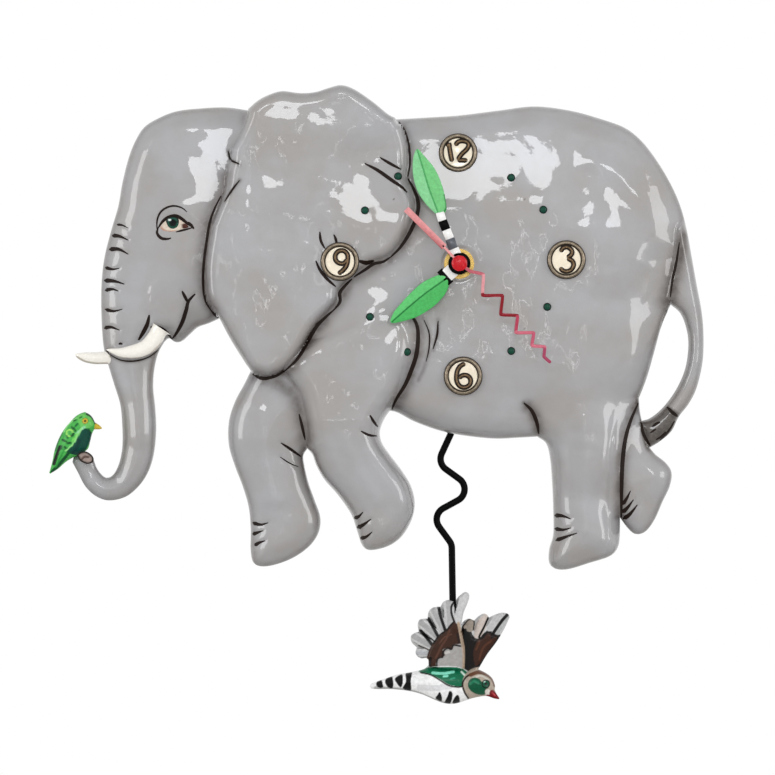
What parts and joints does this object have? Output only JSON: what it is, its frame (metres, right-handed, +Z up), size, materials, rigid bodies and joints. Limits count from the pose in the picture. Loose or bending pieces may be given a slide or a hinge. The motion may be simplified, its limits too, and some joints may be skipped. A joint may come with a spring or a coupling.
{
  "type": "wall clock",
  "caption": "Elephant-shaped wall clock with a quartz movement, leaf hands, a lightning-bolt second hand and a flying-bird pendulum.",
  "frame": {"origin": "centre of the round hole of the hanger's keyhole, on the wall plane", "axes": "+X to the viewer's right, +Z up, and the front of the clock faces -Y, away from the wall"},
  "size_m": [0.2889, 0.046, 0.2735],
  "materials": {
    "grey_resin": "gloss clear-coated grey resin with brown antiquing",
    "ivory_resin": "gloss",
    "green_resin": "gloss, speckled",
    "bird_resin": "gloss, painted feathers",
    "pewter": "satin pewter rim with cream enamel dial",
    "dark_green_enamel": "gloss",
    "green_hand_paint": "gloss",
    "pink_hand_paint": "gloss",
    "red_cap": "gloss",
    "brass": "polished",
    "black_rubber": "matt",
    "black_plastic": "matt",
    "white_gear_plastic": "matt",
    "steel": "satin",
    "copper_winding": "enamelled wire",
    "green_board": "satin",
    "magnet": "satin",
    "black_paint": "gloss",
    "battery_wrap": "gloss"
  },
  "bodies": {
    "clock": {"elephant_casting": "grey_resin", "near_tusk": "ivory_resin", "far_tusk": "ivory_resin", "perched_bird": "green_resin", "numeral_stud_12": "pewter", "numeral_stud_3": "pewter", "numeral_stud_6": "pewter", "numeral_stud_9": "pewter", "hour_dots": "dark_green_enamel", "rubber_washer": "black_rubber", "brass_washer": "brass", "mounting_nut": "brass", "front_case": "black_plastic", "threaded_bushing": "brass", "back_cover": "black_plastic", "train_bridge": "white_gear_plastic", "motor_stator": "steel", "coil_core": "steel", "motor_coil": "copper_winding", "circuit_board": "green_board", "quartz_crystal": "steel", "contact_plus": "steel", "contact_minus": "steel", "pendulum_housing": "black_plastic", "pivot_pin": "steel", "pendulum_coil": "copper_winding", "hanger_plate": "steel", "bridge_screws": "steel", "cover_screws": "steel", "housing_screws": "steel", "hanger_screws": "steel"},
    "hour_train": {"hour_wheel": "white_gear_plastic", "hour_hand": "green_hand_paint"},
    "minute_train": {"cannon_pinion": "white_gear_plastic", "minute_hand": "green_hand_paint"},
    "minute_wheel_body": {"minute_wheel": "white_gear_plastic"},
    "hand_setting": {"setting_gear": "white_gear_plastic", "setting_knob": "white_gear_plastic"},
    "seconds_train": {"seconds_wheel": "white_gear_plastic", "second_hand": "pink_hand_paint", "second_hand_cap": "red_cap"},
    "third_wheel_body": {"third_wheel": "white_gear_plastic"},
    "intermediate_wheel_body": {"intermediate_wheel": "white_gear_plastic"},
    "rotor": {"rotor_pinion": "white_gear_plastic", "rotor_magnet": "magnet"},
    "centre_wheel_body": {"centre_wheel": "white_gear_plastic"},
    "pendulum": {"pendulum_arm": "black_plastic", "pendulum_magnet": "magnet", "pendulum_rod": "black_paint", "bird_bob": "bird_resin"},
    "cell": {"battery": "battery_wrap"}
  },
  "joints": [
    {"name": "minute_spin", "type": "hinge", "parent": "clock", "child": "minute_train", "pos_m": [0, -0.02, -0.04], "axis": [0, 1, 0], "continuous": true},
    {"name": "hour_spin", "type": "hinge", "parent": "clock", "child": "hour_train", "pos_m": [0, -0.02, -0.04], "axis": [0, 1, 0], "continuous": true},
    {"name": "minute_wheel_spin", "type": "hinge", "parent": "clock", "child": "minute_wheel_body", "pos_m": [0, -0.02, -0.0488], "axis": [0, 1, 0], "continuous": true},
    {"name": "setting_spin", "type": "hinge", "parent": "clock", "child": "hand_setting", "pos_m": [0.01116, -0.02, -0.05286], "axis": [0, 1, 0], "continuous": true},
    {"name": "seconds_spin", "type": "hinge", "parent": "clock", "child": "seconds_train", "pos_m": [0, -0.02, -0.04], "axis": [0, 1, 0], "continuous": true},
    {"name": "third_wheel_spin", "type": "hinge", "parent": "clock", "child": "third_wheel_body", "pos_m": [0.00301, -0.02, -0.03173], "axis": [0, 1, 0], "continuous": true},
    {"name": "intermediate_spin", "type": "hinge", "parent": "clock", "child": "intermediate_wheel_body", "pos_m": [0.00872, -0.02, -0.03924], "axis": [0, 1, 0], "continuous": true},
    {"name": "rotor_spin", "type": "hinge", "parent": "clock", "child": "rotor", "pos_m": [0.01561, -0.02, -0.03345], "axis": [0, 1, 0], "continuous": true},
    {"name": "centre_wheel_spin", "type": "hinge", "parent": "clock", "child": "centre_wheel_body", "pos_m": [0, -0.02, -0.04], "axis": [0, 1, 0], "continuous": true},
    {"name": "pendulum_swing", "type": "hinge", "parent": "clock", "child": "pendulum", "pos_m": [0, -0.0065, -0.015], "axis": [0, 1, 0], "range_deg": [-6, 6]},
    {"name": "battery_slide", "type": "slide", "parent": "clock", "child": "cell", "axis": [0, 1, 0], "range_m": [0, 0.02]}
  ],
  "couplings": [
    {"joint": "hour_spin", "follows": "minute_spin", "ratio": 0.083333},
    {"joint": "minute_wheel_spin", "follows": "minute_spin", "ratio": -0.33333},
    {"joint": "setting_spin", "follows": "minute_spin", "ratio": 0.41667},
    {"joint": "third_wheel_spin", "follows": "seconds_spin", "ratio": -0.13333},
    {"joint": "intermediate_spin", "follows": "seconds_spin", "ratio": -6},
    {"joint": "rotor_spin", "follows": "seconds_spin", "ratio": 30},
    {"joint": "centre_wheel_spin", "follows": "seconds_spin", "ratio": 0.016667}
  ]
}
